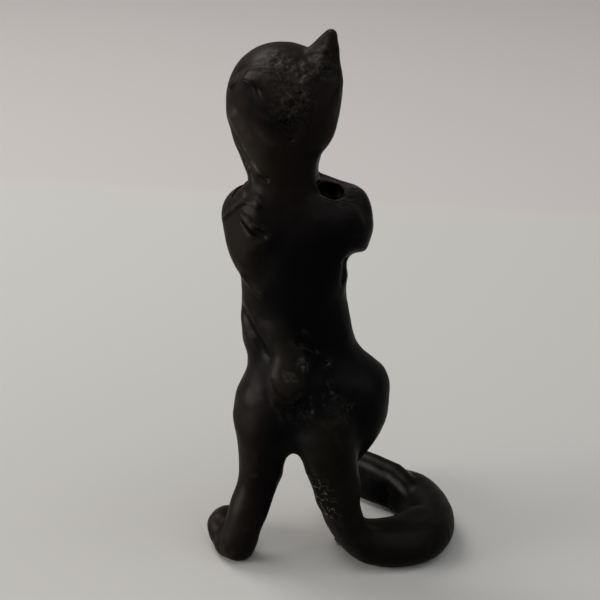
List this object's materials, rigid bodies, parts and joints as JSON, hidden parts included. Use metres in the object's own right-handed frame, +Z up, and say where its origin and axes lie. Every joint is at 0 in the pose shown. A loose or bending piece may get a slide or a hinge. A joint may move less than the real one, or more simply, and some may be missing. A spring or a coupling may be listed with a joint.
{
  "type": "standing cat figure",
  "caption": "Hand-modelled cat standing on its hind legs, arms folded under a tilted head, tail brought round on the ground as a third support.",
  "frame": {"origin": "on the ground, under the middle of the bounding box", "axes": "+Z up; +Y the way the chest faces; +X the cat's own right. The tail leaves the rump at -Y"},
  "size_m": [0.0464, 0.0378, 0.0976],
  "materials": {
    "body_clay": "burnished black clay, semi-gloss, finger-smoothed",
    "ear_clay": "black clay, pinched, duller",
    "face_clay": "burnished black clay, glossy",
    "worn_clay": "black clay with pale worn specks",
    "tail_clay": "burnished black clay, scratched"
  },
  "bodies": {
    "root": {"torso": "body_clay", "head": "body_clay", "right_ear": "ear_clay", "left_ear": "ear_clay", "muzzle": "body_clay", "nose": "face_clay", "right_eye": "face_clay", "left_eye": "face_clay", "right_arm": "body_clay", "left_arm": "body_clay", "right_paw": "body_clay", "left_paw": "body_clay", "neck_pellet": "body_clay", "back_patch": "worn_clay", "right_leg": "body_clay", "left_leg": "body_clay", "right_foot": "body_clay", "left_foot": "body_clay", "tail": "tail_clay"}
  },
  "joints": []
}
